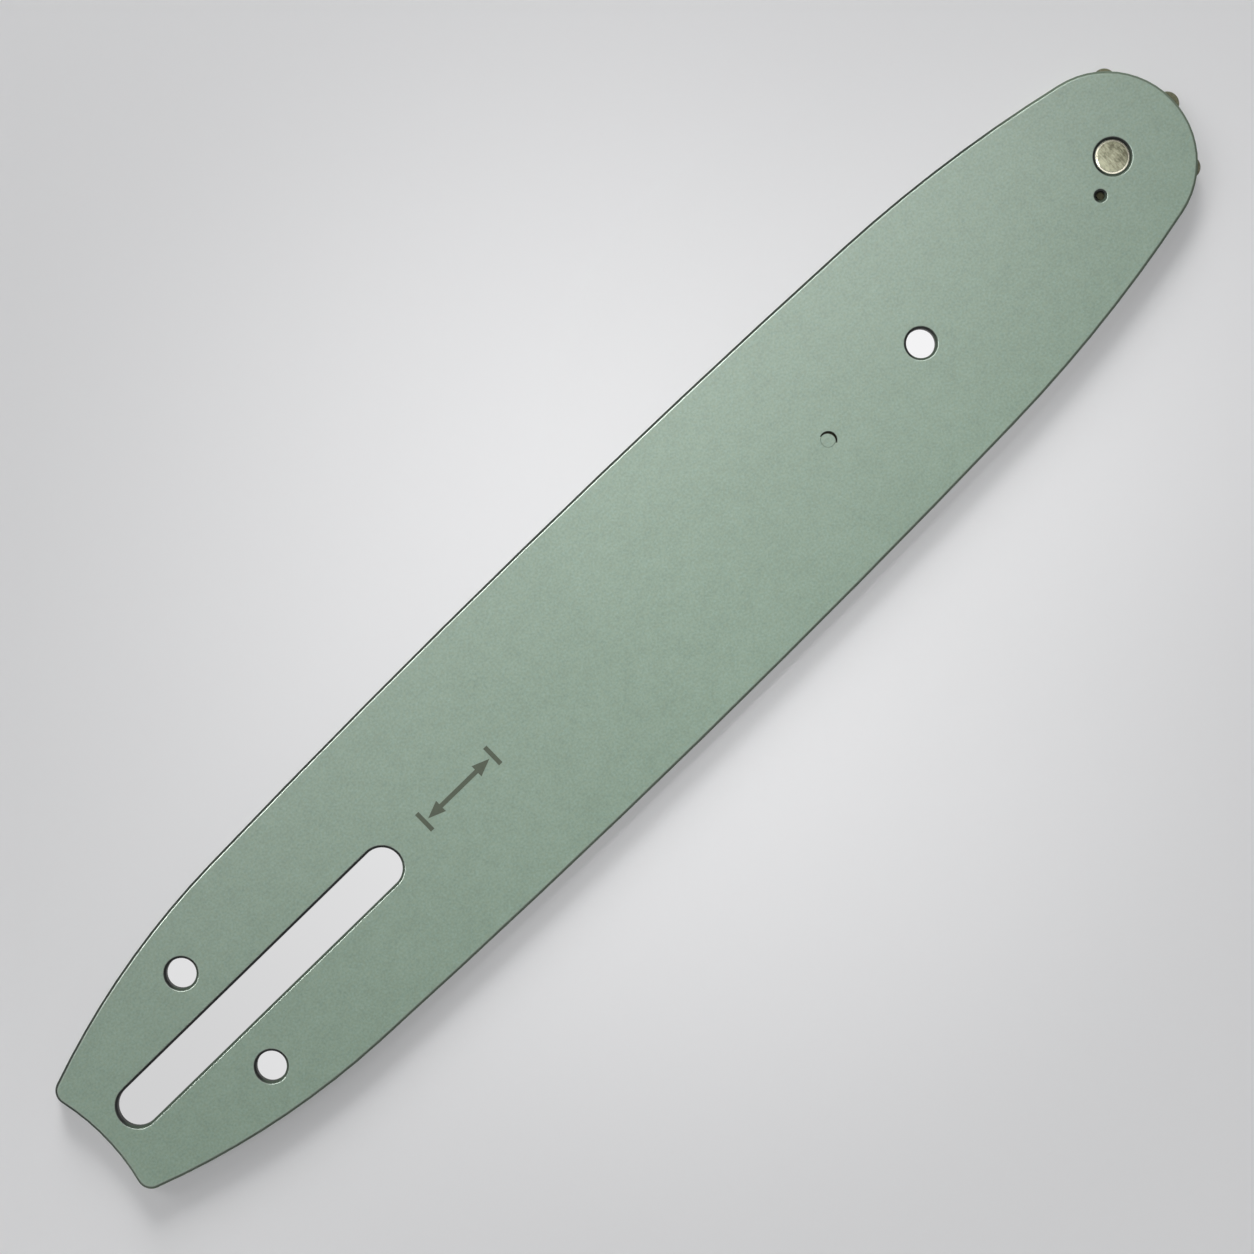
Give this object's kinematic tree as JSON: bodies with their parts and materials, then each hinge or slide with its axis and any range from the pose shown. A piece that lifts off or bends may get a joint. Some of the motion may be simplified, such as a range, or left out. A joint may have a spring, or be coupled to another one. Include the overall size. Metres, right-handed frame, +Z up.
{
  "type": "chainsaw guide bar",
  "caption": "Flat laminated guide bar for a small chainsaw, with a grooved edge, a long stud slot at the tail and a free-turning toothed wheel in the round nose.",
  "frame": {"origin": "midway between the two tensioner holes, on the bar's lower face", "axes": "+X along the bar towards the nose, +Y across the blade, +Z up out of the upper face"},
  "size_m": [0.3007, 0.0524, 0.0041],
  "materials": {
    "plate_paint": "satin sage green powder coat with a fine mottle",
    "core_steel": "dark oiled steel",
    "rivet_steel": "worn warm grey steel",
    "bearing_steel": "greased bearing steel",
    "sprocket_steel": "brownish hardened steel"
  },
  "bodies": {
    "bar": {"side_plate_upper": "plate_paint", "side_plate_lower": "plate_paint", "core_plate": "core_steel", "nose_rivet": "rivet_steel", "bearing_race": "bearing_steel"},
    "sprocket": {"nose_sprocket": "sprocket_steel"},
    "roller_set": {"roller_01": "bearing_steel", "roller_02": "bearing_steel", "roller_03": "bearing_steel", "roller_04": "bearing_steel", "roller_05": "bearing_steel", "roller_06": "bearing_steel", "roller_07": "bearing_steel", "roller_08": "bearing_steel", "roller_09": "bearing_steel", "roller_10": "bearing_steel", "roller_11": "bearing_steel", "roller_12": "bearing_steel", "roller_13": "bearing_steel", "roller_14": "bearing_steel", "roller_15": "bearing_steel", "roller_16": "bearing_steel", "roller_17": "bearing_steel"}
  },
  "joints": [
    {"name": "sprocket_spin", "type": "hinge", "parent": "bar", "child": "sprocket", "pos_m": [0.2475, 0, 0.00205], "axis": [0, 0, 1], "continuous": true},
    {"name": "roller_orbit", "type": "hinge", "parent": "bar", "child": "roller_set", "pos_m": [0.2475, 0, 0.00205], "axis": [0, 0, 1], "continuous": true}
  ],
  "couplings": [
    {"joint": "roller_orbit", "follows": "sprocket_spin", "ratio": 0.59211}
  ]
}
